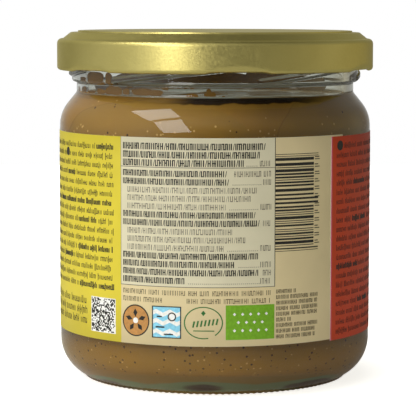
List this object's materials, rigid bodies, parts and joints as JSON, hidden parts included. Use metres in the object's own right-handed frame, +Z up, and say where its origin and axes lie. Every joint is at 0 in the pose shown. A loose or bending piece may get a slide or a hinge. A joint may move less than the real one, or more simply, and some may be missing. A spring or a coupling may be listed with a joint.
{
  "type": "sunflower seed butter jar",
  "caption": "Round glass jar of brown sunflower seed butter with a gold twist-off metal lid and a paper label wrapped round its body.",
  "frame": {"origin": "centre of the ring that the jar stands on", "axes": "+Z up along the jar's axis; the label's table looks towards -Y, its text runs towards +X"},
  "size_m": [0.086, 0.086, 0.094],
  "materials": {
    "jar_glass": "clear moulded glass with a faint green tint",
    "lid_tinplate": "satin gold lacquer",
    "butter": "smooth oily brown paste with fine flecks, stands for food",
    "label_paper": "printed paper, slightly glossy"
  },
  "bodies": {
    "root": {"glass_jar": "jar_glass", "lid": "lid_tinplate", "sunflower_butter": "butter", "label": "label_paper"}
  },
  "joints": []
}
